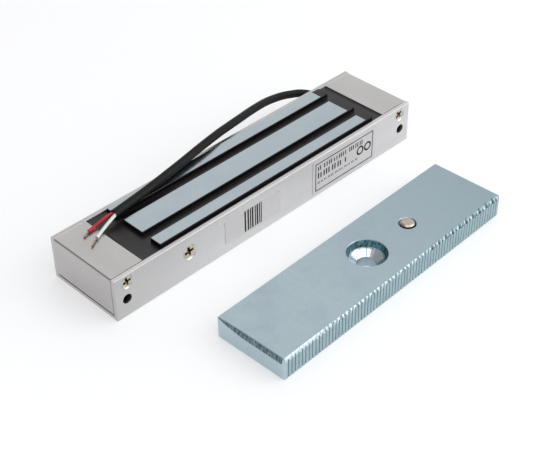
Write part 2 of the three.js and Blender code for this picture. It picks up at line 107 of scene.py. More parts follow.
# The lead's route, in metres, from its grommet over the rear flange and along the rear pole.
LEAD_ROUTE = [
    (0.0703, 0.0224, 0.0100), (0.0701, 0.0246, 0.0100),
    (0.0688, 0.0276, 0.0103), (0.0658, 0.0303, 0.0109),
    (0.0615, 0.0317, 0.0117), (0.0566, 0.0322, 0.0129),
    (0.0506, 0.0319, 0.0143), (0.0447, 0.0309, 0.0158),
    (0.0370, 0.0289, 0.0176), (0.0295, 0.0267, 0.0192),
    (0.0216, 0.0244, 0.0206), (0.0141, 0.0224, 0.0218),
    (0.0067, 0.0207, 0.02265), (-0.0010, 0.0190, 0.0231),
    (-0.0087, 0.0175, 0.0232), (-0.0164, 0.0161, 0.0230),
    (-0.0242, 0.0147, 0.0229), (-0.0320, 0.0133, 0.02287),
    (-0.0396, 0.0120, 0.02287), (-0.0474, 0.0108, 0.02287),
    (-0.0535, 0.0100, 0.02287), (-0.0598, 0.0092, 0.02287),
]

# The wires' routes, in millimetres, from inside the jacket's end over the left cover.
RED_ROUTE = [(-59.9, 9.9, 22.9), (-62.8, 10.3, 22.3), (-66.6, 10.7, 21.1), (-70.0, 10.6, 20.45)]
RED_ROUTE.append((-72.3, 10.2, 20.4))
RED_TIP = [(-71.9, 10.25, 20.4), (-73.3, 9.85, 20.35), (-74.4, 9.45, 20.25), (-75.4, 9.1, 20.1)]
WHITE_ROUTE = [(-59.9, 8.5, 22.8), (-62.5, 7.9, 22.3), (-65.6, 7.3, 21.4), (-69.2, 6.3, 20.6)]
WHITE_ROUTE.append((-72.4, 5.0, 20.4))
WHITE_TIP = [(-72.0, 5.2, 20.4), (-73.6, 4.4, 20.35), (-75.4, 3.4, 20.25), (-77.0, 2.5, 20.1)]


# ---- materials ----

MATERIALS = {}


def linear(*levels):
    """A colour for a shader from its red, green and blue screen values, each 0 to 255."""
    shares = [level / 255 for level in levels]
    return (*(s / 12.92 if s <= 0.04045 else ((s + 0.055) / 1.055) ** 2.4 for s in shares), 1.0)


def set_input(tree, socket, value):
    """Links a socket to another node's output, or gives it a plain value."""
    if isinstance(value, bpy.types.NodeSocket):
        tree.links.new(value, socket)
    else:
        socket.default_value = value


def add_node(tree, kind, operation=None, **inputs):
    """A new shader node, with its inputs set or linked by name."""
    node = tree.nodes.new(f"ShaderNode{kind}")
    if operation:
        node.operation = operation
    for name, value in inputs.items():
        set_input(tree, node.inputs[name.replace("_", " ")], value)
    return node


def span(tree, value, low, high, to_low=0.0, to_high=1.0):
    """The value with its range from low to high stretched to another range."""
    ends = {"From_Min": low, "From_Max": high, "To_Min": to_low, "To_Max": to_high}
    return add_node(tree, "MapRange", Value=value, **ends).outputs["Result"]


class Surface:
    """A procedural material, kept in MATERIALS under its key: a Principled shader that noises vary."""

    def __init__(self, key, color, roughness, metallic=0.0, **sockets):
        material = MATERIALS[key] = bpy.data.materials.new(f"fine_{key}")
        material.use_nodes = True
        self.tree = material.node_tree
        self.shader = self.tree.nodes["Principled BSDF"]
        self.color, self.height = color, None
        self.place = add_node(self.tree, "TexCoord").outputs["Object"]
        values = {"Base_Color": color, "Roughness": roughness, "Metallic": metallic, **sockets}
        for name, value in values.items():
            self.shader.inputs[name.replace("_", " ")].default_value = value

    def noise(self, size, stretch=(1, 1, 1), detail=2.0):
        """Noise with features about size millimetres across, longer along an axis by its stretch."""
        scale = [1 / (size * MM * s) for s in stretch]
        place = add_node(self.tree, "Mapping", Scale=scale, Vector=self.place).outputs["Vector"]
        return add_node(self.tree, "TexNoise", Scale=1.0, Detail=detail, Vector=place).outputs["Fac"]

    def along(self, axis):
        """The place along an axis, in metres."""
        return add_node(self.tree, "SeparateXYZ", Vector=self.place).outputs[axis]

    def spokes(self, center, scale):
        """Noise in streaks that run out from an upright axis."""
        away = add_node(self.tree, "VectorMath", "SUBTRACT", Vector=self.place)
        away.inputs[1].default_value = center
        flat = add_node(self.tree, "VectorMath", "MULTIPLY", Vector=away.outputs["Vector"])
        flat.inputs[1].default_value = (1, 1, 0)
        way = add_node(self.tree, "VectorMath", "NORMALIZE", Vector=flat.outputs["Vector"])
        return add_node(self.tree, "TexNoise", Scale=scale, Vector=way.outputs["Vector"]).outputs["Fac"]

    def tint(self, value, other, low=0.35, high=0.65):
        """Mixes the base colour with another colour where the value is high."""
        mix = self.tree.nodes.new("ShaderNodeMix")
        mix.data_type = "RGBA"
        set_input(self.tree, mix.inputs["Factor"], span(self.tree, value, low, high))
        set_input(self.tree, mix.inputs["A"], self.color)
        mix.inputs["B"].default_value = other
        self.color = mix.outputs["Result"]
        self.tree.links.new(self.color, self.shader.inputs["Base Color"])

    def rough(self, value, low, high):
        """Varies the roughness from low to high with a noise."""
        roughness = span(self.tree, value, 0.3, 0.7, low, high)
        self.tree.links.new(roughness, self.shader.inputs["Roughness"])

    def bump(self, value, depth):
        """Raises the surface by up to depth millimetres where the value is high."""
        node = add_node(self.tree, "Bump", Distance=depth * MM, Height=value)
        if self.height is not None:
            self.tree.links.new(self.height, node.inputs["Normal"])
        self.height = node.outputs["Normal"]
        self.tree.links.new(self.height, self.shader.inputs["Normal"])
        return self


def make_sheet_and_screws():
    alu = Surface("aluminium", linear(188, 187, 187), 0.32, 1.0)
    # Darker toward the housing's left end: painted shade.
    alu.tint(alu.along("X"), linear(211, 211, 212), -0.085, -0.03)
    alu.tint(alu.noise(14, (3, 1, 1)), linear(196, 195, 194), 0.4, 1.0)
    alu.tint(alu.noise(0.35), linear(186, 186, 186), 0.45, 0.9)
    alu.rough(alu.noise(0.5), 0.28, 0.38)
    alu.bump(alu.noise(0.3, detail=3), 0.006).bump(alu.noise(0.2, (60, 1, 1)), 0.004)

    # A lighter copy of the aluminium for the front flange's top: painted highlight.
    edge = Surface("flange_top_painted_highlight", linear(221, 220, 219), 0.38, 1.0)
    edge.tint(edge.noise(0.35), linear(210, 210, 210), 0.45, 0.75)
    edge.bump(edge.noise(0.3, (6, 1, 1)), 0.006)

    sheet = Surface("cover_sheet", linear(207, 204, 204), 0.32, 1.0)
    sheet.tint(sheet.noise(9, (1, 2, 1)), linear(201, 198, 196))
    sheet.tint(sheet.noise(0.4), linear(192, 190, 189), 0.45, 0.75)
    sheet.rough(sheet.noise(0.5), 0.28, 0.38)
    sheet.bump(sheet.noise(0.3, detail=3), 0.006).bump(sheet.noise(0.25, (1, 40, 1)), 0.003)

    # A darker copy of the cover sheet for the covers' outer end walls: painted shade.
    wall = Surface("cover_wall_painted_shade", linear(190, 187, 187), 0.32, 1.0)
    wall.tint(wall.noise(9, (1, 2, 1)), linear(185, 182, 180))
    wall.tint(wall.noise(0.4), linear(177, 175, 174), 0.45, 0.75)
    wall.bump(wall.noise(0.3, detail=3), 0.006)

    screw = Surface("screw_steel", linear(204, 199, 188), 0.2, 1.0)
    screw.tint(screw.noise(1.2), linear(176, 165, 142))
    screw.rough(screw.noise(0.4), 0.14, 0.28)
    screw.bump(screw.noise(0.25), 0.006)

    # A dark copy of the screw steel for the cross recesses' walls: painted shade.
    recess = Surface("recess_painted_shade", linear(112, 102, 80), 0.3, 1.0)
    recess.tint(recess.noise(0.5), linear(76, 66, 50))
    recess.bump(recess.noise(0.2), 0.01)


def make_core_and_plate_metals():
    steel = Surface("core_steel", linear(183, 195, 200), 0.18, 1.0)
    steel.tint(steel.noise(11, (2, 1, 1)), linear(178, 188, 198))
    steel.tint(steel.noise(0.8, (1, 6, 1)), linear(178, 189, 194), 0.5, 0.8)
    steel.rough(steel.noise(0.8, (1, 6, 1)), 0.15, 0.21)
    steel.bump(steel.noise(0.3, (1, 10, 1)), 0.001)

    zinc = Surface("zinc_steel", linear(181, 199, 206), 0.34, 1.0)
    # Darker toward the plate's right end: painted shade.
    zinc.tint(zinc.along("X"), linear(163, 182, 190), -0.03, 0.07)
    zinc.tint(zinc.noise(18), linear(172, 186, 199), 0.5, 0.8)
    zinc.tint(zinc.noise(10), linear(166, 190, 194), 0.55, 0.85)
    zinc.tint(zinc.noise(0.6), linear(160, 178, 186), 0.55, 0.85)
    zinc.rough(zinc.noise(3), 0.3, 0.4)
    zinc.bump(zinc.noise(0.4, detail=3), 0.006).bump(zinc.noise(6), 0.02)

    sheared = Surface("sheared_zinc", linear(124, 142, 150), 0.4, 1.0)
    sheared.tint(sheared.noise(0.45, (1, 1, 12)), linear(74, 92, 100), 0.42, 0.56)
    sheared.bump(sheared.noise(0.4, (1, 1, 10)), 0.03)

    ribbed = Surface("ribbed_zinc", linear(162, 183, 188), 0.36, 1.0)
    ribbed.tint(ribbed.noise(1.5, (1, 1, 4)), linear(150, 173, 180), 0.45, 0.7)
    ribbed.bump(ribbed.noise(0.4, (1, 1, 8)), 0.01)

    # A darker copy of the zinc for the faces deep in the rib valleys: painted shade.
    valley = Surface("rib_valley_painted_shade", linear(84, 118, 130), 0.45, 1.0)
    valley.tint(valley.noise(1.2, (1, 1, 3)), linear(66, 100, 113), 0.4, 0.7)
    valley.bump(valley.noise(0.3, (1, 1, 6)), 0.01)

    bored = Surface("bored_zinc", linear(112, 150, 160), 0.3, 1.0)
    bored.tint(bored.noise(0.9, (1, 1, 2.5)), linear(54, 92, 106), 0.45, 0.62)
    bored.tint(bored.noise(2.2), linear(140, 172, 180), 0.55, 0.75)
    bored.bump(bored.noise(1.0, (1, 1, 3)), 0.12)

    cone = Surface("turned_zinc", linear(224, 229, 233), 0.24, 1.0)
    cone.tint(cone.spokes(PLATE_AT * MM, 4.6), linear(140, 165, 172), 0.5, 0.62)
    cone.bump(cone.noise(3), 0.05)

    pin = Surface("pin_nickel", linear(206, 192, 182), 0.26, 1.0)
    pin.tint(pin.noise(1.6), linear(182, 172, 160), 0.4, 0.7)
    pin.rough(pin.noise(0.7), 0.2, 0.4)
    pin.bump(pin.noise(0.8, detail=3), 0.02)


def make_resin_wires_and_labels():
    resin = Surface("black_resin", linear(17, 9, 16), 0.36, Specular_IOR_Level=0.54)
    resin.tint(resin.noise(12), linear(14, 9, 13))
    resin.rough(resin.noise(5), 0.3, 0.42)
    resin.bump(resin.noise(9), 0.05).bump(resin.noise(0.5), 0.003)

    # A darker, less shiny copy of the resin for the banks' sides: painted shade.
    bank = Surface("resin_bank_painted_shade", linear(9, 5, 8), 0.5, Specular_IOR_Level=0.12)
    bank.tint(bank.noise(12), linear(12, 8, 11))
    bank.bump(bank.noise(9), 0.03)

    rubber = Surface("black_rubber", linear(15, 15, 16), 0.5, Specular_IOR_Level=0.2)
    rubber.tint(rubber.noise(3), linear(20, 20, 21))
    rubber.rough(rubber.noise(1.5), 0.42, 0.6)
    rubber.bump(rubber.noise(0.35), 0.01)

    nylon = Surface("bobbin_plastic", linear(224, 216, 196), 0.5)
    nylon.tint(nylon.noise(5), linear(214, 204, 182))
    nylon.bump(nylon.noise(0.4), 0.01)

    copper = Surface("copper", linear(196, 112, 62), 0.32, 1.0)
    copper.tint(copper.noise(0.35, (30, 1, 1)), linear(150, 76, 40))
    copper.bump(copper.noise(0.35, (40, 1, 1)), 0.08)

    red = Surface("red_pvc", linear(184, 12, 46), 0.36)
    red.tint(red.noise(1.4), linear(166, 8, 38))
    red.bump(red.noise(0.4), 0.006)

    white = Surface("white_pvc", linear(226, 230, 224), 0.36)
    white.tint(white.noise(1.4), linear(212, 218, 212))
    white.bump(white.noise(0.4), 0.006)

    tinned = Surface("tinned_wire", linear(188, 178, 170), 0.32, 1.0)
    tinned.tint(tinned.noise(0.8), linear(140, 118, 104), 0.4, 0.7)
    tinned.bump(tinned.noise(0.15), 0.01)

    black = Surface("black_plastic", linear(36, 36, 38), 0.45)
    black.tint(black.noise(2), linear(48, 47, 49))
    black.bump(black.noise(0.3), 0.01)

    film = Surface("clear_film", linear(204, 203, 204), 0.3, 1.0)
    film.tint(film.noise(6), linear(200, 198, 198))
    film.tint(film.noise(0.35), linear(193, 192, 192), 0.45, 0.75)
    film.bump(film.noise(5), 0.01)

    ink = Surface("ink", linear(16, 16, 17), 0.5, Specular_IOR_Level=0.2)
    ink.tint(ink.noise(0.25), linear(30, 30, 31), 0.5, 0.8)

    spring = Surface("spring_steel", linear(186, 186, 184), 0.26, 1.0)
    spring.tint(spring.noise(0.8), linear(150, 150, 150))
    spring.bump(spring.noise(0.2), 0.006)


make_sheet_and_screws()
make_core_and_plate_metals()
make_resin_wires_and_labels()


# ---- solids ----


def rounded(corners, steps=4):
    """A closed outline from (u, v, radius) corners, each corner with a radius turned into an arc."""
    outline = []
    for i, (u, v, radius) in enumerate(corners):
        here = Vector((u, v))
        if not radius:
            outline.append((u, v))
            continue
        before = (Vector(corners[i - 1][:2]) - here).normalized()
        after = (Vector(corners[(i + 1) % len(corners)][:2]) - here).normalized()
        half = before.angle(after) / 2
        centre = here + (before + after).normalized() * radius / math.sin(half)
        start = here + before * radius / math.tan(half) - centre
        sweep = start.angle_signed(here + after * radius / math.tan(half) - centre)
        for k in range(steps + 1):
            turned = start.copy()
            turned.rotate(Matrix.Rotation(-sweep * k / steps, 2))
            outline.append(tuple(centre + turned))
    return outline


def place(axis, u, v, along):
    """A point from its place along an axis and its other two coordinates."""
    point = [u, v]
    point.insert(axis, along)
    return point


def add_rings(bm, rings, closed=False):
    """Joins rings of equally many points into a tube, capped at both ends unless it closes on itself."""
    loops = [[bm.verts.new(point) for point in ring] for ring in rings]
    pairs = list(zip(loops, loops[1:]))
    if closed:
        pairs.append((loops[-1], loops[0]))
    for low, high in pairs:
        for i in range(len(low)):
            j = (i + 1) % len(low)
            bm.faces.new((low[i], low[j], high[j], high[i]))
    if not closed:
        bm.faces.new(loops[0])
        bm.faces.new(loops[-1])


def add_prism(bm, outline, axis, start, end):
    add_rings(bm, [[place(axis, u, v, along) for u, v in outline] for along in (start, end)])


def add_box(bm, low, high):
    (x0, y0, z0), (x1, y1, z1) = low, high
    add_prism(bm, [(x0, y0), (x1, y0), (x1, y1), (x0, y1)], 2, z0, z1)


def add_lathe(bm, profile, matrix=Matrix(), segments=64, closed=False):
    """A turned solid from (radius, height) pairs, about the matrix's Z axis."""
    turns = [2 * math.pi * i / segments for i in range(segments)]
    rings = [
        [matrix @ Vector((r * math.cos(t), r * math.sin(t), h)) for t in turns] for r, h in profile
    ]
    add_rings(bm, rings, closed)


def heading(points, i):
    """The direction in which a row of points runs at one of them."""
    return (points[min(i + 1, len(points) - 1)] - points[max(i - 1, 0)]).normalized()


def add_tube(bm, points, radius, sides=12):
    """A round tube along points, with flat ends."""
    points = [Vector(p) for p in points]
    turns = [2 * math.pi * k / sides for k in range(sides)]
    normal = None
    rings = []
    for i, point in enumerate(points):
        ahead = heading(points, i)
        normal = ahead.orthogonal() if normal is None else normal - ahead * normal.dot(ahead)
        normal.normalize()
        side = ahead.cross(normal)
        rings.append([point + radius * (normal * math.cos(t) + side * math.sin(t)) for t in turns])
    add_rings(bm, rings)


def along_route(route, count):
    """count points spaced along the smooth curve through a route's points."""
    points = [Vector(p) for p in route]
    ends = [2 * points[0] - points[1], *points, 2 * points[-1] - points[-2]]
    found = []
    for k in range(count):
        at = (len(points) - 1) * k / (count - 1)
        i = min(int(at), len(points) - 2)
        t = at - i
        a, b, c, d = ends[i : i + 4]
        found.append(
            0.5 * (2 * b + (c - a) * t + (2 * a - 5 * b + 4 * c - d) * t**2 + (3 * b - a - 3 * c + d) * t**3)
        )
    return found


def onto_flange(side, x, z):
    """A matrix that takes +Z to the outward direction of the front or rear flange, at its outer face."""
    turn = math.pi / 2 if side == "front" else -math.pi / 2
    y = -HOUSING.y if side == "front" else HOUSING.y
    return Matrix.Translation((x, y, z)) @ Matrix.Rotation(turn, 4, "X")


def add_object(name, data):
    made = bpy.data.objects.new(name, data)
    bpy.context.scene.collection.objects.link(made)
    return made


def temporary(bm):
    """An object that holds what was drawn, with its faces turned outward."""
    bmesh.ops.recalc_face_normals(bm, faces=bm.faces)
    mesh = bpy.data.meshes.new("temporary")
    bm.to_mesh(mesh)
    bm.free()
    return add_object("temporary", mesh)


def solid(add, *args, **options):
    """A solid drawn by one of the functions above."""
    bm = bmesh.new()
    add(bm, *args, **options)
    return temporary(bm)


def apply_modifiers(thing):
    graph = bpy.context.evaluated_depsgraph_get()
    mesh = bpy.data.meshes.new_from_object(thing.evaluated_get(graph))
    thing.modifiers.clear()
    thing.data = mesh


def combine(body, tool, operation):
    """Cuts the tool out of the body, or joins it on, and removes the tool."""
    modifier = body.modifiers.new("combine", "BOOLEAN")
    modifier.operation = operation
    modifier.solver = "EXACT"
    modifier.object = tool
    apply_modifiers(body)
    bpy.data.objects.remove(tool)


def soften(body, width, segments=2, angle=40):
    """Rounds the body's sharp edges."""
    modifier = body.modifiers.new("soften", "BEVEL")
    modifier.width = width
    modifier.segments = segments
    modifier.limit_method = "ANGLE"
    modifier.angle_limit = math.radians(angle)
    apply_modifiers(body)


def as_piece(
    thing, name, slot, replaces=(), matrix=Matrix(), smooth=35, materials=(), body="magnet_unit"
):
    """Turns a solid drawn in millimetres into a finished piece in metres, painted and riding on its body."""
    thing.name = thing.data.name = f"fine_{name}"
    thing.data.transform(Matrix.Scale(MM, 4) @ matrix)
    thing.data.shade_smooth()
    thing.data.set_sharp_from_angle(angle=math.radians(smooth))
    level = thing.modifiers.new("level_normals", "WEIGHTED_NORMAL")
    level.keep_sharp = True
    finishes = [face.material_index for face in thing.data.polygons]
    thing.data.materials.clear()
    for key in materials or (slot,):
        thing.data.materials.append(MATERIALS[key])
    thing.data.polygons.foreach_set("material_index", finishes)
    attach(thing, body)
    if replaces:
        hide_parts(*replaces)
    return thing


# ---- camera ----


def make_camera():
    """The camera looks at a point on the floor between the two pieces."""
    azimuth, elevation, roll = (math.radians(a) for a in (-44.938, 38.592, -0.592))
    target = Vector((-0.0016, -0.0202, 0.0))
    distance = 0.5006
    level = math.cos(elevation)
    back = Vector((math.sin(azimuth) * level, -math.cos(azimuth) * level, math.sin(elevation)))
    data = bpy.data.cameras.new("camera")
    data.lens = 79.5
    data.sensor_width = 36
    data.clip_start = 0.01
    data.clip_end = 20
    camera = add_object("camera", data)
    camera.rotation_mode = "QUATERNION"
    right = Vector((math.cos(azimuth), math.sin(azimuth), 0))
    up = back.cross(right)
    turned_right = math.cos(roll) * right + math.sin(roll) * up
    turned_up = math.cos(roll) * up - math.sin(roll) * right
    axes = Matrix((turned_right, turned_up, back)).transposed()
    camera.rotation_quaternion = axes.to_quaternion()
    camera.location = target + back * distance
    bpy.context.scene.camera = camera


# ---- the lead ----


def make_wire(name, route, slot):
    wire = solid(add_tube, along_route(route, count=40), WIRE / 2, sides=20)
    return as_piece(wire, name, slot, [name])


def make_strands(name, route, twist):
    """Seven fine strands twisted round each other, opening a little at the tip."""
    strand = 0.13
    centre = along_route(route, count=28)
    bm = bmesh.new()
    add_tube(bm, centre, strand, sides=8)
    for k in range(6):
        points = []
        for i, point in enumerate(centre):
            share = i / (len(centre) - 1)
            ahead = heading(centre, i)
            across = ahead.cross(Vector((0, 0, 1))).normalized()
            turn = 2 * math.pi * (k / 6 + twist * share)
            out = 2 * strand * (1 + 0.35 * max(0.0, share - 0.7) / 0.3)
            points.append(point + out * (across * math.cos(turn) + ahead.cross(across) * math.sin(turn)))
        add_tube(bm, points[: len(points) - k % 3], strand, sides=8)
    return as_piece(temporary(bm), name, "tinned_wire", [name])


def make_jacket_end():
    """The cut end of the jacket, a short ring round the two wires."""
    tip, before = (Vector(p) / MM for p in (LEAD_ROUTE[-1], LEAD_ROUTE[-2]))
    turn = (tip - before).to_track_quat("Z", "Y").to_matrix().to_4x4()
    radius, bore = CABLE / 2, 1.4
    profile = [(bore, -0.02), (radius, -0.02), (radius, 0.55)]
    profile += [(radius - 0.15, 0.7), (bore + 0.1, 0.7), (bore, 0.6)]
    ring = solid(add_lathe, profile, Matrix.Translation(tip) @ turn, 32, closed=True)
    return as_piece(ring, "cable_jacket_end", "black_rubber")


def make_lead():
    data = bpy.data.curves.new("lead_jacket", "CURVE")
    data.dimensions = "3D"
    data.bevel_depth = CABLE * MM / 2
    data.bevel_resolution = 8
    data.resolution_u = 8
    data.use_fill_caps = True
    spline = data.splines.new("BEZIER")
    spline.bezier_points.add(len(LEAD_ROUTE) - 1)
    for point, spot in zip(spline.bezier_points, LEAD_ROUTE):
        point.co = spot
        point.handle_left_type = point.handle_right_type = "AUTO"
    data.materials.append(MATERIALS["black_rubber"])
    jacket = add_object("lead_jacket", data)
    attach(jacket, "magnet_unit")
    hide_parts("cable_jacket")
    on_it = [
        make_jacket_end(),
        make_wire("red_wire", RED_ROUTE, "red_pvc"),
        make_wire("white_wire", WHITE_ROUTE, "white_pvc"),
        make_strands("red_wire_tip", RED_TIP, 0.6),
        make_strands("white_wire_tip", WHITE_TIP, 0.8),
    ]


# ---- housing, covers and screws ----


def add_flange_hole(bm, side, x, z, radius):
    add_lathe(bm, [(radius, -FLANGE - 1), (radius, 1)], onto_flange(side, x, z), 56)


def add_countersink(bm, side, x, spec):
    hole, sink = spec["shank"] + SCREW_ROOM, spec["sink"]
    profile = [(hole, -FLANGE - 1), (hole, hole - sink), (sink, 0), (sink + 0.4, 0.4)]
    add_lathe(bm, profile, onto_flange(side, x, spec["z"]), 64)


def make_housing():
    edge, heel = 0.18, 0.5
    outline = [(-HOUSING.y, 0, heel), (HOUSING.y, 0, heel), (HOUSING.y, HOUSING.z, edge)]
    outline += [(INNER, HOUSING.z, edge), (INNER, BASE, edge), (-INNER, BASE, edge)]
    outline += [(-INNER, HOUSING.z, edge), (-HOUSING.y, HOUSING.z, edge)]
    channel = solid(add_prism, rounded(outline), 0, -HOUSING.x, HOUSING.x)
    bm = bmesh.new()
    for side in ("front", "rear"):
        for sign in (-1, 1):
            add_countersink(bm, side, sign * COVER_SCREW["x"], COVER_SCREW)
            add_flange_hole(bm, side, sign * SIDE_HOLE["x"], SIDE_HOLE["z"], SIDE_HOLE["radius"])
    add_countersink(bm, "front", -CORE_SCREW["x"], CORE_SCREW)
    add_countersink(bm, "rear", CORE_SCREW["x"], CORE_SCREW)
    add_flange_hole(bm, "rear", LEAD_EXIT.x, LEAD_EXIT.z, LEAD_HOLE)
    combine(channel, temporary(bm), "DIFFERENCE")
    soften(channel, 0.08)
    # The flange tops get their own finishes, so neither takes the aluminium's painted shade toward the left
    # end: the front one the lighter copy, a painted highlight, and the rear one the cover sheet's finish.
    for face in channel.data.polygons:
        if face.normal.z > 0.6 and face.center.z > HOUSING.z - 0.3:
            face.material_index = 1 if face.center.y < 0 else 2
    name, finishes = "housing_channel", ["aluminium", "flange_top_painted_highlight", "cover_sheet"]
    as_piece(channel, name, "aluminium", [name], smooth=50, materials=finishes)


def make_cover(name, turn):
    """The right cover: a bent sheet with two screw tabs. Turned half round it is the left one.

    It closes right up to the rear flange, and leaves a fine gap along the front one.
    """
    x0, x1 = COVER_LOW.x, HOUSING.x
    half, to_rear = COVER_HIGH.y - 0.1, INNER - 0.03
    y0, y1 = (-half, to_rear) if turn == 0 else (-to_rear, half)
    top, bottom = COVER_HIGH.z, BASE + COVER_GAP
    under = top - COVER_SHEET
    inside = x1 - COVER_SHEET
    bend = 0.5
    outline = [(x1, bottom, 0), (x1, top - bend, 0.1), (x1 - bend, top, 0.1), (x0, top, 0.1)]
    outline += [(x0, under, 0), (inside, under, 0.15), (inside, bottom, 0)]
    cover = solid(add_prism, rounded(outline, 2), 1, y0, y1)
    bm = bmesh.new()
    lap = 0.2
    tab = [(inside - TAB_LENGTH, under + lap, 0), (inside + lap, under + lap, 0)]
    tab += [(inside + lap, under - TAB_HEIGHT, 0), (inside - TAB_LENGTH, under - TAB_HEIGHT, 1.0)]
    for sign in (-1, 1):
        near, far = sorted((sign * half, sign * (half - COVER_SHEET)))
        add_prism(bm, rounded(tab), 1, near, far)
    combine(cover, temporary(bm), "UNION")
    bm = bmesh.new()
    hole = COVER_SCREW["shank"] + SCREW_ROOM
    for side in ("front", "rear"):
        matrix = onto_flange(side, COVER_SCREW["x"], COVER_SCREW["z"])
        add_lathe(bm, [(hole, -COVER_SCREW["length"]), (hole, 0)], matrix, 40)
    combine(cover, temporary(bm), "DIFFERENCE")
    soften(cover, 0.12)
    # The outer end wall gets the darker copy of the sheet: painted shade.
    for face in cover.data.polygons:
        face.material_index = int(face.normal.x > 0.8 and face.center.x > x1 - 0.2)
    matrix = Matrix.Rotation(math.radians(turn), 4, "Z")
    finishes = ["cover_sheet", "cover_wall_painted_shade"]
    as_piece(cover, name, "cover_sheet", [name], matrix, 50, finishes)


def make_gap_shade(name, sign):
    """A dark strip in the gap under an end cover's wall: painted shade that darkens the gap line."""
    x0, x1 = sorted((sign * (HOUSING.x - 1.0), sign * (HOUSING.x - 0.3)))
    low, high = BASE - 0.02, BASE + COVER_GAP + 0.02
    bead = solid(add_box, (x0, -COVER_HIGH.y, low), (x1, COVER_HIGH.y, high))
    as_piece(bead, name, "black_rubber")


def plus(reach, half):
    """The outline of a cross."""
    arm = [(reach, -half), (reach, half), (half, half)]
    turned = []
    for quarter in range(4):
        for u, v in arm:
            for _ in range(quarter):
                u, v = -v, u
            turned.append((u, v))
    return turned


def make_screw(name, spec, side, x, roll):
    """A countersunk screw with a cross recess, its head below the flange's face."""
    head, shank, length = spec["head"] - 0.15, spec["shank"], spec["length"]
    face = -0.42
    neck = face - (head - shank)
    root, pitch = shank - 0.16, 0.5
    profile = [(shank * 0.55, -length), (root, -length + 0.5)]
    depth = -length + 0.6
    while depth < neck - 0.7:
        profile += [(shank, depth), (shank, depth + 0.1), (root, depth + 0.3), (root, depth + 0.4)]
        depth += pitch
    profile += [(shank, neck), (head - 0.05, face - 0.12), (head - 0.02, face - 0.05), (head - 0.12, face)]
    screw = solid(add_lathe, profile, segments=56)
    levels = [(0.5, 0.84, 0.27), (-0.05, 0.74, 0.21), (-1.2, 0.4, 0.14), (-1.45, 0.16, 0.08)]
    rings = []
    for rise, reach, half in levels:
        rings.append([(u, v, face + rise) for u, v in plus(head * reach, head * half)])
    combine(screw, solid(add_rings, rings), "DIFFERENCE")
    soften(screw, 0.05, angle=50)
    # The recess walls get the dark copy of the steel: painted shade.
    for polygon in screw.data.polygons:
        out = polygon.center.xy.length
        polygon.material_index = int(face - 1.5 < polygon.center.z < face - 0.2 and out < 0.72 * head)
    matrix = onto_flange(side, x, spec["z"]) @ Matrix.Rotation(math.radians(roll), 4, "Z")
    as_piece(screw, name, "screw_steel", [name], matrix, 45, ["screw_steel", "recess_painted_shade"])


# ---- core and resin ----


def core_outline(inset):
    """The E section with its surfaces moved in by inset, in the YZ plane."""
    half = CORE_HIGH.y - inset
    top = CORE_HIGH.z - inset
    yoke = YOKE_TOP - inset
    corners = [(-half, CORE_LOW.z + inset, 0.1), (half, CORE_LOW.z + inset, 0.1)]
    for i in (2, 1, 0):
        near, far = LEGS[i]
        corners += [(far - inset, top, 0), (near + inset, top, 0)]
        if i > 0:
            corners += [(near + inset, yoke, 0.2), (LEGS[i - 1][1] - inset, yoke, 0.2)]
    return rounded(corners, 3)


def add_core_screw_holes(bm, past=0.0):
    """The two core screws' holes, which go a little past the screws' ends."""
    radius, depth = CORE_SCREW["shank"] + SCREW_ROOM, CORE_SCREW["length"] + past
    for side, sign in (("front", -1), ("rear", 1)):
        matrix = onto_flange(side, sign * CORE_SCREW["x"], CORE_SCREW["z"])
        add_lathe(bm, [(radius, -depth), (radius, 0)], matrix, segments=24)


def make_core():
    count = round((CORE_HIGH.x - CORE_LOW.x) / LAMINATION)
    groove = 0.006
    full, sunk = core_outline(0), core_outline(groove)
    rings = []
    for i in range(count):
        x = CORE_LOW.x + i * LAMINATION
        rings.append([(x, u, v) for u, v in sunk])
        for share in (0.1, 0.9):
            rings.append([(x + share * LAMINATION, u, v) for u, v in full])
    rings.append([(CORE_HIGH.x, u, v) for u, v in sunk])
    core = solid(add_rings, rings)
    bm = bmesh.new()
    for sign in (-1, 1):
        along = Matrix.Translation((0, sign * RIVET_Y, RIVET_Z)) @ Matrix.Rotation(math.pi / 2, 4, "Y")
        add_lathe(bm, [(RIVET_HOLE, CORE_LOW.x - 1), (RIVET_HOLE, CORE_HIGH.x + 1)], along, segments=24)
    add_core_screw_holes(bm, past=0.2)
    combine(core, temporary(bm), "DIFFERENCE")
    as_piece(core, "core_laminations", "core_steel", ["core_laminations"], smooth=30)


def collar_outline(near, far, out):
    """The outline round a pole and the block past its right end, moved out all round."""
    x0, x1 = CORE_LOW.x - out, CORE_HIGH.x + 0.2 + POLE_BLOCK + out
    y0, y1 = near - out, far + out
    return rounded([(x0, y0, 0.3 + out), (x1, y0, 1.4 + out), (x1, y1, 1.4 + out), (x0, y1, 0.3 + out)], 8)


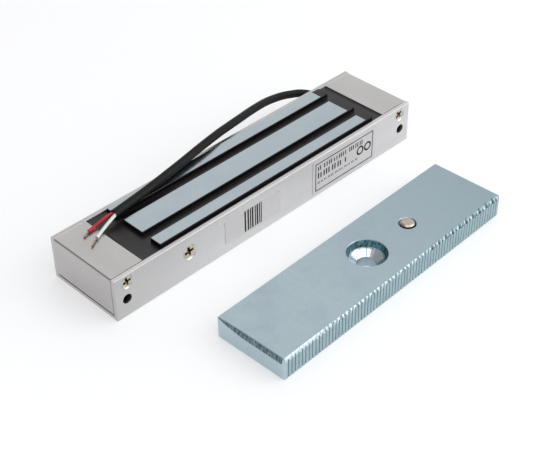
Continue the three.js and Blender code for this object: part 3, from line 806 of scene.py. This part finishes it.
def make_resin():
    """The resin, with a bank round each pole, a rise up to each cover, and room for the core and coil."""
    y = INNER - 0.01
    resin = solid(add_box, (-RESIN_HALF, -y, CORE_LOW.z), (RESIN_HALF, y, RESIN_FLOOR))
    bank = [(0.5, 18.6), (0.5, 19.0), (0.42, 19.02), (0.36, 19.1), (0.32, 19.28), (0.28, 19.6)]
    bank += [(0.26, 20.6), (0.2, 20.78), (0.1, RESIN_TOP)]
    for near, far in LEGS:
        rings = [[(*point, z) for point in collar_outline(near, far, out)] for out, z in bank]
        combine(resin, solid(add_rings, rings), "UNION")
    start, end = 66.9, 68.37  # of the rise, which meets the cover's inner edge
    rise = [(start, RESIN_FLOOR - 0.5), (end, RESIN_FLOOR - 0.5), (end, 19.5)]
    rise += [(68.1, 19.32), (67.7, 19.13), (67.3, 19.04), (start, RESIN_FLOOR)]
    for outline in (rise, [(-x, z) for x, z in reversed(rise)]):
        combine(resin, solid(add_prism, outline, 1, -y, y), "UNION")
    core_x, core_y = CORE_HIGH.x + RESIN_GAP, CORE_HIGH.y + RESIN_GAP
    coil_x, coil_y = CORE_HIGH.x + POCKET["coil"], LEGS[1][1] + POCKET["coil"]
    rivet_x = CORE_HIGH.x + POCKET["rivet"]
    above = CORE_HIGH.z + 1
    cavity = solid(add_box, (-core_x, -core_y, 0), (core_x, core_y, POCKET["coil_top"]))
    boxes = [
        ((-coil_x, -coil_y, YOKE_TOP), (coil_x, coil_y, POCKET["coil_top"])),
        ((-rivet_x, -core_y, 0), (rivet_x, core_y, POCKET["rivet_top"])),
    ]
    for near, far in LEGS:
        boxes.append(((-core_x, near - RESIN_GAP, YOKE_TOP), (core_x, far + RESIN_GAP, above)))
    for low, high in boxes:
        combine(cavity, solid(add_box, low, high), "UNION")
    combine(resin, cavity, "DIFFERENCE")
    bm = bmesh.new()
    add_core_screw_holes(bm)
    lead_room = 3.9
    matrix = onto_flange("rear", LEAD_EXIT.x, LEAD_EXIT.z)
    add_lathe(bm, [(lead_room, -3.6), (lead_room, 0)], matrix, segments=32)
    combine(resin, temporary(bm), "DIFFERENCE")
    # The banks' sides above the floor get the darker copy of the resin: painted shade.
    for face in resin.data.polygons:
        face.material_index = int(
            face.center.z > RESIN_FLOOR and face.normal.z < 0.8 and abs(face.center.x) < start
        )
    name, finishes = "potting_resin", ["black_resin", "resin_bank_painted_shade"]
    as_piece(resin, name, "black_resin", [name], smooth=40, materials=finishes)


def make_grommet():
    """A rubber ring that grips the rear flange from both sides, with a short cone round the lead."""
    inner = -FLANGE - 0.2
    bore, neck, rim = 2.0, LEAD_HOLE - 0.2, 3.7
    profile = [(bore, inner - 1.2), (rim - 0.3, inner - 1.2), (rim, inner - 0.9), (rim, inner)]
    profile += [(neck, inner), (neck, 0.2), (rim, 0.2), (rim, 0.85), (rim - 0.1, 1.1), (3.35, 1.2)]
    profile += [(3.05, 1.3), (2.8, 2.6), (2.7, 3.0), (2.5, 3.1), (bore, 3.1)]
    ring = solid(add_lathe, profile, onto_flange("rear", LEAD_EXIT.x, LEAD_EXIT.z), 48, closed=True)
    as_piece(ring, "cable_grommet", "black_rubber", ["cable_grommet"], smooth=40)


# ---- labels ----


def make_film(node):
    low, high = box_mm(node)
    corners = [(low.x, low.z), (high.x, low.z), (high.x, high.z), (low.x, high.z)]
    film = solid(add_prism, rounded([(x, z, 0.8) for x, z in corners], 6), 1, low.y, high.y)
    as_piece(film, node, "clear_film", [node], smooth=40)
    return low, high


def add_mark(bm, x0, x1, z0, z1, face):
    """A printed rectangle on a label whose outer face is at Y = face."""
    add_box(bm, (x0, face - 0.015, z0), (x1, face + 0.03, z1))


def make_rating_label():
    """A thin frame, rows of plain upright strokes for text, and two plain rings for marks."""
    low, high = make_film("rating_label")
    chance = random.Random(5)
    x0, x1, z0, z1 = low.x + 1.7, high.x - 1.6, low.z + 1.1, high.z - 1.4
    line = 0.46
    bm = bmesh.new()
    add_mark(bm, x0, x1, z0, z0 + line, low.y)
    add_mark(bm, x0, x1, z1 - line, z1, low.y)
    add_mark(bm, x0, x0 + line, z0 + line, z1 - line, low.y)
    add_mark(bm, x1 - line, x1, z0 + line, z1 - line, low.y)
    rows = [(1.6, 3.9, 28, 0.6), (5.0, 7.9, 20, 0.75), (9.6, 10.6, 26, 0.4)]
    for top, bottom, length, stroke in rows:  # top and bottom are measured down from the frame's top
        x = x0 + 1.5
        while x < x0 + length:
            for _ in range(chance.choice((1, 2, 2, 3))):
                add_mark(bm, x, x + stroke, z1 - bottom, z1 - top - chance.choice((0, 0, 0.3)), low.y)
                x += stroke * 2
            x += stroke * chance.choice((0.6, 1, 2.2))
    as_piece(temporary(bm), "rating_label_print", "black_plastic", materials=["ink"])
    bm = bmesh.new()
    inner, outer, down = 1.4, 2.25, 6.6
    ring = [(inner, -0.02), (outer, -0.02), (outer, 0.025), (inner, 0.025)]
    for back in (8.2, 3.4):
        spot = Matrix.Translation((x1 - back, low.y + 0.01, z1 - down))
        add_lathe(bm, ring, spot @ Matrix.Rotation(math.pi / 2, 4, "X"), 40, closed=True)
    as_piece(temporary(bm), "rating_label_badge", "black_plastic", materials=["ink"])


def make_clear_sticker():
    """A block of plain upright bars of several widths."""
    low, high = make_film("clear_sticker")
    chance = random.Random(11)
    bm = bmesh.new()
    x, end = low.x + 10.6, high.x - 10.0
    while x < end:
        width = chance.choice((0.45, 0.6, 0.6, 0.85))
        add_mark(bm, x, x + width, low.z + 0.8, high.z - 0.2, low.y)
        x += width + chance.choice((0.45, 0.55, 0.8))
    as_piece(temporary(bm), "clear_sticker_print", "black_plastic", materials=["ink"])


# ---- armature, drawn about its own centre ----

ONTO_ARMATURE = Matrix.Translation(PLATE_AT) @ Matrix.Rotation(math.radians(PLATE_TURN), 4, "Z")
PLATE_FINISHES = ["zinc_steel", "sheared_zinc", "rib_valley_painted_shade", "bored_zinc", "turned_zinc", "ribbed_zinc"]


def rib_depth(x):
    """How far the ribbed front side is in at a place along it: rounded ribs between sharp valleys."""
    at = x / RIB_PITCH
    off = abs(at - round(at)) * 2
    if abs(x) > RIB_PITCH * RIB_COUNT / 2:
        return 0.0
    return RIB_DEPTH * (0.25 * off**2 + 0.75 * off**6)


def ramp(value, low, high):
    """How far a value is on its way from low to high, from 0 to 1, eased at both ends."""
    share = min(1.0, max(0.0, (value - low) / (high - low)))
    return share * share * (3 - 2 * share)


def front_chamfer(x):
    """The chamfer along the plate's front edge at a place along it: how far down and how far in it goes."""
    left, right = ramp(-x, 20, 48), ramp(x, 15, 60)
    return 1.2 + 0.5 * left + 0.15 * right, 0.72 + 0.2 * left + 0.5 * right


def nick_depth(x, part):
    """How deep the nicks across that chamfer are, at a place along it and part of the way up it."""
    strength = 0.2 + 0.8 * ramp(x, -50, -36)
    right = ramp(x, 8, 45)
    slant = (0.25 + 0.75 * right) * (0.5 - part)
    deepest = 0.0
    for offset, depth, half in ((-1.4, 0.26, 0.5), (1.1, 0.4, 0.7)):
        at = (x + slant - NICK_START - offset) / NICK_PITCH
        away = abs(at - round(at)) * NICK_PITCH
        depth *= 1 + 0.7 * right
        half *= 1 + 0.4 * right
        deepest = max(deepest, depth * (1 - away / half))
    return strength * deepest


def end_shear(x, y):
    """How much of the sheared wedge under the left end's top edge there is, at a point of the outline."""
    if x > 1.0 - PLATE.x or abs(y) > PLATE.y - 0.4:
        return 0.0
    share = min(1.0, max(0.0, (PLATE.y - 0.3 - y) / 12)) ** 0.6
    return share * ramp(y, 0.9 - PLATE.y, 1.5 - PLATE.y)


def plate_outline():
    """The plate's outline, anticlockwise from its front left corner, with and without the ribs."""
    x, y = PLATE.x, PLATE.y
    steps = RIB_COUNT * 12
    reach = RIB_PITCH * RIB_COUNT / 2
    front = [-reach + 2 * reach * i / steps for i in range(steps + 1)]
    corners = rounded([(x, -y, 1.0), (x, y, 0.5), (-x, y, 0.25), (-x, -y, 1.0)], 5)
    right, rear_right, rear_left, left = (corners[i : i + 6] for i in (0, 6, 12, 18))

    def between(a, b, count):
        (u0, v0), (u1, v1) = a, b
        return [(u0 + (u1 - u0) * k / count, v0 + (v1 - v0) * k / count) for k in range(1, count)]

    rest = [*right, *between(right[-1], rear_right[0], 30)]
    rest += [*rear_right, *between(rear_right[-1], rear_left[0], 8)]
    rest += [*rear_left, *between(rear_left[-1], left[0], 90), *left]
    plain = [(u, -y) for u in front] + rest
    ribbed = [(u, -y + rib_depth(u)) for u in front] + rest
    return plain, ribbed


def inward(points):
    """The inward direction at each point of a closed outline that runs anticlockwise."""
    ways = []
    for i in range(len(points)):
        ahead = Vector(points[(i + 1) % len(points)]) - Vector(points[i - 1])
        ways.append(Vector((-ahead.y, ahead.x)).normalized())
    return ways


def plate_rows():
    """The plate's rings of points, from its bottom edge up its sides and in over its chamfer."""
    plain, ribbed = plate_outline()
    ways = inward(plain)
    top = PLATE.z
    rows = []
    for out, z in ((0.6, 0.0), (0.3, 0.08), (0.08, 0.3), (0.0, 0.6)):
        rows.append([(u + way.x * out, v + way.y * out, z) for (u, v), way in zip(ribbed, ways)])
    chamfers = []
    for (u, v), (_, ribbed_v) in zip(plain, ribbed):
        front = v < 0.45 - PLATE.y
        drop, width = front_chamfer(u) if front else (0.2, 0.2)
        chamfers.append((drop, width, ribbed_v - v, front))
    for part in (0.0, 0.5, 1.0):
        row = []
        for (u, v), way, (drop, width, rib, _) in zip(plain, ways, chamfers):
            shear = end_shear(u, v)
            out = rib + SHEAR_IN * shear * part
            z = top - drop * (1 - rib / width) - SHEAR_FALL * shear * (1 - part) - 0.04 * (1 - part)
            row.append((u + way.x * out, v + way.y * out, z))
        rows.append(row)
    for part in (0.2, 0.4, 0.6, 0.8, 1.0):
        row = []
        for (u, v), way, (drop, width, rib, front) in zip(plain, ways, chamfers):
            at = rib / width + (1 - rib / width) * part
            swell = 0.08 * math.sin(math.pi * at) * width
            nick = nick_depth(u, part) if front else 0.0
            out = width * at - swell + nick + SHEAR_IN * end_shear(u, v)
            lift = swell - nick if part < 1 else 0.0
            row.append((u + way.x * out, v + way.y * out, top - drop * (1 - at) + lift))
        rows.append(row)
    return rows


def add_bolt_hole(bm):
    """The stepped centre hole, with the rings that a drill left on its cone."""
    top = PLATE.z
    mouth, throat, step, cone, bore = BOLT_HOLE.values()
    turned = []
    for share in (0.25, 0.5, 0.75):
        radius, level = bore + share * (throat - bore), cone + share * (step - cone)
        turned += [(radius - 0.1, level - 0.09), (radius + 0.1, level + 0.03), (radius + 0.11, level + 0.1)]
    profile = [(bore - 0.4, -0.2), (bore - 0.3, 0.2), (bore, cone), *turned]
    profile += [(throat, step), (mouth, top - 0.3), (mouth + 0.5, top + 0.26)]
    add_lathe(bm, profile, segments=112)


def add_pin_bore(bm):
    top = PLATE.z
    mouth, bore, shoulder = PIN_BORE.values()
    profile = [(bore + 0.5, -0.3), (bore, 0.2), (bore, shoulder)]
    profile += [(mouth, shoulder), (mouth, top - 0.2), (mouth + 0.5, top + 0.3)]
    add_lathe(bm, profile, Matrix.Translation((PIN["x"], 0, 0)), 72)


def make_plate():
    plate = solid(add_rings, plate_rows())
    bm = bmesh.new()
    add_bolt_hole(bm)
    add_pin_bore(bm)
    combine(plate, temporary(bm), "DIFFERENCE")
    for face in plate.data.polygons:
        face.material_index = PLATE_FINISHES.index(plate_finish(face))
    name = "armature_plate"
    as_piece(plate, name, "zinc_steel", [name], ONTO_ARMATURE, 38, PLATE_FINISHES, body="armature")


def plate_finish(face):
    """Which of the plate's finishes a face has."""
    x, y, z = face.center
    tilt = face.normal.z
    if face.normal.x < -0.8 and x < SHEAR_IN + 0.1 - PLATE.x:
        lowest = PLATE.z - 0.2 - SHEAR_FALL * end_shear(-PLATE.x, y)
        if lowest < z < PLATE.z - 0.18:
            return "sheared_zinc"
    # Front faces: painted shade on those deep in a rib valley, the ribbed finish on the rest.
    if y < 0.6 - PLATE.y and abs(tilt) < 0.3 and abs(x) < PLATE.x - 1:
        return "rib_valley_painted_shade" if rib_depth(x) > 0.5 * RIB_DEPTH else "ribbed_zinc"
    # On the front chamfer right of CHAMFER_TURN, darker finishes dim its highlight: painted shade, darkest
    # on the deep nicks.
    if y < 2 - PLATE.y and 0.3 < tilt < 0.95 and z > PLATE.z / 2 and x > CHAMFER_TURN:
        return "sheared_zinc" if nick_depth(x, 0.5) > 0.25 else "ribbed_zinc"
    in_hole = math.hypot(x, y) < BOLT_HOLE["mouth"] + 0.1 and z < PLATE.z - 0.1
    if in_hole and z > BOLT_HOLE["cone"] - 0.1:
        return "turned_zinc" if z < BOLT_HOLE["step"] else "bored_zinc"
    return "zinc_steel"


def make_pin():
    """A pin with a bevelled rim, and a wide foot that the spring pushes up against its bore's shoulder."""
    foot, foot_low, foot_high = PIN["foot"], PIN["foot_low"], PIN["foot_high"]
    radius, top = PIN["radius"], PIN["top"]
    profile = [(foot - 0.2, foot_low), (foot, foot_low + 0.2), (foot, foot_high - 0.1)]
    profile += [(foot - 0.1, foot_high), (radius, foot_high), (radius, top - 0.58)]
    profile += [(radius - 0.06, top - 0.48), (radius - 0.62, top - 0.05), (radius - 0.74, top)]
    profile.append((radius * 0.4, top))
    pin = solid(add_lathe, profile, Matrix.Translation((PIN["x"], 0, 0)), 96)
    as_piece(pin, "release_pin", "pin_nickel", ["release_pin"], ONTO_ARMATURE, 30, body="pin")


def make_plug():
    """The plug that closes the pin's bore from below, with a slot for a screwdriver."""
    radius, low, high = PLUG.values()
    profile = [(radius - 0.25, low), (radius, low + 0.25), (radius, high - 0.15), (radius - 0.15, high)]
    plug = solid(add_lathe, profile, Matrix.Translation((PIN["x"], 0, 0)), 72)
    reach, half = 3.2, 0.5
    slot = solid(add_box, (PIN["x"] - reach, -half, low - 0.5), (PIN["x"] + reach, half, low + 0.6))
    combine(plug, slot, "DIFFERENCE")
    as_piece(plug, "pin_plug", "spring_steel", ["pin_plug"], ONTO_ARMATURE, 40, body="armature")


def make_spring():
    """The release pin's spring. Its bottom rests on the plug."""
    turns, low, high = SPRING["turns"], SPRING["low"], SPRING["high"]
    steps = turns * 40
    points = []
    for i in range(steps + 1):
        angle = 2 * math.pi * turns * i / steps
        x, y = SPRING["coil"] * math.cos(angle), SPRING["coil"] * math.sin(angle)
        points.append((PIN["x"] + x, y, low + (high - low) * i / steps))
    coil, name = solid(add_tube, points, SPRING["wire"]), "release_pin_spring"
    spring = as_piece(coil, name, "spring_steel", [name], ONTO_ARMATURE, 40, body="armature")
    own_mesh(spring)


# ---- the CAD model's own pieces that stay ----

KEPT = {
    "core_steel": ["core_rivet_front", "core_rivet_rear"],
    "bobbin_plastic": ["coil_bobbin"],
    "copper": ["coil_winding", "coil_lead_start", "coil_lead_end"],
    "black_rubber": ["cable_tail"],
    "red_pvc": ["inner_red_wire"],
    "white_pvc": ["inner_white_wire"],
    "black_plastic": ["splice_sleeve_red", "splice_sleeve_white", "surge_diode"],
}


def paint_kept():
    for slot, names in KEPT.items():
        for node in (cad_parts[name] for name in names):
            node.data.materials.clear()
            node.data.materials.append(MATERIALS[slot])


# ---- room ----


def make_floor():
    bm = bmesh.new()
    bmesh.ops.create_grid(bm, x_segments=1, y_segments=1, size=3)
    floor = temporary(bm)
    floor.name = "floor"
    floor.location.z = -0.0001
    glow = {"Emission_Color": (1, 1, 1, 1), "Emission_Strength": 0.42}
    surface = Surface("white_floor", linear(202, 203, 205), 0.7, **glow)
    surface.tint(surface.noise(400), linear(200, 201, 204))
    floor.data.materials.append(MATERIALS["white_floor"])


def make_light(name, direction, distance, size, power):
    """A flat light that faces the object from a direction."""
    aim = Vector((0, -0.02, 0))
    data = bpy.data.lights.new(name, "AREA")
    data.shape = "RECTANGLE"
    data.size, data.size_y = size
    data.energy = power
    lamp = add_object(name, data)
    away = Vector(direction).normalized()
    lamp.location = aim + away * distance
    lamp.rotation_mode = "QUATERNION"
    lamp.rotation_quaternion = away.to_track_quat("Z", "Y")


def make_room():
    """Soft light all round, brightest at the front right and overhead, with darker patches on the left."""
    make_floor()
    make_light("key", (0.55, -0.68, 0.46), 1.1, (0.9, 1.25), 5.5)
    make_light("overhead", (-0.35, -0.45, 1), 1.3, (1.1, 1.1), 4)
    world = bpy.data.worlds.new("room")
    world.use_nodes = True
    tree = world.node_tree
    coords = add_node(tree, "TexCoord")
    color = (0.99, 0.99, 0.99)
    # each patch's direction, the cosines where it starts and is full, and how dark it gets
    patches = [
        ((-0.62, 0.6, 0.5), 0.35, 0.95, 0.3),
        ((-0.6, -0.55, 0.6), 0.8, 0.97, 0.35),
        ((0.85, -0.35, -0.4), -0.2, 0.35, 0.8),
    ]
    for toward, first, last, dark in patches:
        dot = add_node(tree, "VectorMath", "DOT_PRODUCT", Vector=coords.outputs["Generated"])
        dot.inputs[1].default_value = Vector(toward).normalized()
        shade = span(tree, dot.outputs["Value"], first, last, 1.0, dark)
        color = add_node(tree, "VectorMath", "SCALE", Vector=color, Scale=shade).outputs["Vector"]
    tree.links.new(color, tree.nodes["Background"].inputs["Color"])
    bpy.context.scene.world = world
    bpy.context.scene.view_settings.view_transform = "Standard"


# ---- the whole object ----

make_camera()
make_lead()
make_housing()
make_cover("end_cover_right", 0)
make_cover("end_cover_left", 180)
# dark strips in the gaps under the cover walls: painted shade
make_gap_shade("end_gap_shade_right", 1)
make_gap_shade("end_gap_shade_left", -1)
COVER_SCREW_ROLLS = {"front_left": 12, "front_right": 38, "rear_left": -20, "rear_right": 5}
for spot, roll_by in COVER_SCREW_ROLLS.items():
    flange, end = spot.split("_")
    screw_x = COVER_SCREW["x"] if end == "right" else -COVER_SCREW["x"]
    make_screw(f"cover_screw_{spot}", COVER_SCREW, flange, screw_x, roll_by)
make_screw("core_screw_front", CORE_SCREW, "front", -CORE_SCREW["x"], 8)
make_screw("core_screw_rear", CORE_SCREW, "rear", CORE_SCREW["x"], 30)
make_core()
make_resin()
make_grommet()
make_rating_label()
make_clear_sticker()
make_plate()
make_pin()
make_plug()
make_spring()
paint_kept()
make_room()
